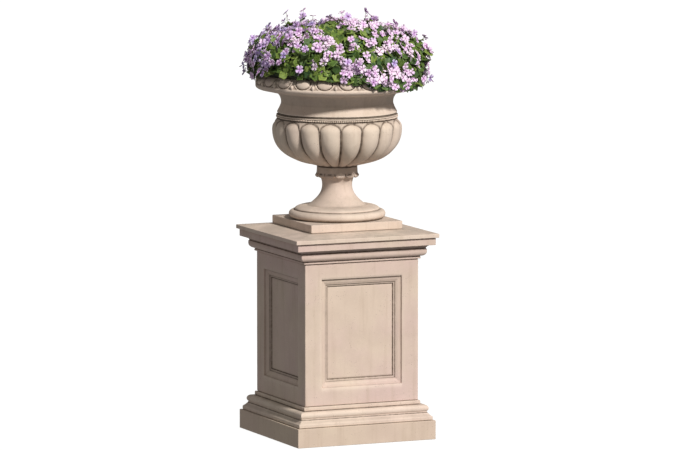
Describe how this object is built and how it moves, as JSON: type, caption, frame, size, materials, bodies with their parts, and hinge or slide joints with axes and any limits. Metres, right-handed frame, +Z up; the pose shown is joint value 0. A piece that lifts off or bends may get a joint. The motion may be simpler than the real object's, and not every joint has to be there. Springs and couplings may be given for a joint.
{
  "type": "planted urn on pedestal",
  "caption": "Gadrooned garden urn with an egg-and-dart rim, planted with a mound of small pink flowers, standing on a square panelled pedestal.",
  "frame": {"origin": "on the ground under the centre of the pedestal", "axes": "+Z up; the pedestal's faces look along X and Y; -Y is the lit face in the picture and -X the shaded one"},
  "size_m": [0.6798, 0.68, 1.5293],
  "materials": {
    "cast_stone": "matte",
    "mortar": "matte",
    "stainless": "satin",
    "foliage": "satin",
    "flowers": "matte",
    "terracotta": "matte",
    "gravel": "matte",
    "fleece": "matte",
    "compost": "matte"
  },
  "bodies": {
    "pedestal": {"plinth_block": "cast_stone", "plinth_bed": "mortar", "plinth_dowels": "stainless", "base_moulding": "cast_stone", "base_bed": "mortar", "base_dowels": "stainless", "die": "cast_stone", "die_bed": "mortar", "die_dowels": "stainless", "cornice": "cast_stone", "cornice_bed": "mortar", "cornice_dowels": "stainless", "cap_slab": "cast_stone"},
    "urn": {"foot_slab": "cast_stone", "slab_bed": "mortar", "foot": "cast_stone", "leaf_collar": "cast_stone", "bowl_bed": "mortar", "bowl": "cast_stone", "rim_bed": "mortar", "neck_ring": "cast_stone", "tie_tube": "stainless", "tie_washers": "stainless", "tie_nuts": "stainless", "drain_screen": "terracotta", "gravel": "gravel", "fleece": "fleece", "compost": "compost", "plant_middle": "foliage", "plant_right": "foliage", "plant_back_right": "foliage", "plant_back_left": "foliage", "plant_left": "foliage", "plant_front_left": "foliage", "plant_front_right": "foliage"}
  },
  "joints": [
    {"name": "urn_lift", "type": "slide", "parent": "pedestal", "child": "urn", "axis": [0, 0, 1], "range_m": [0, 0.12]}
  ]
}
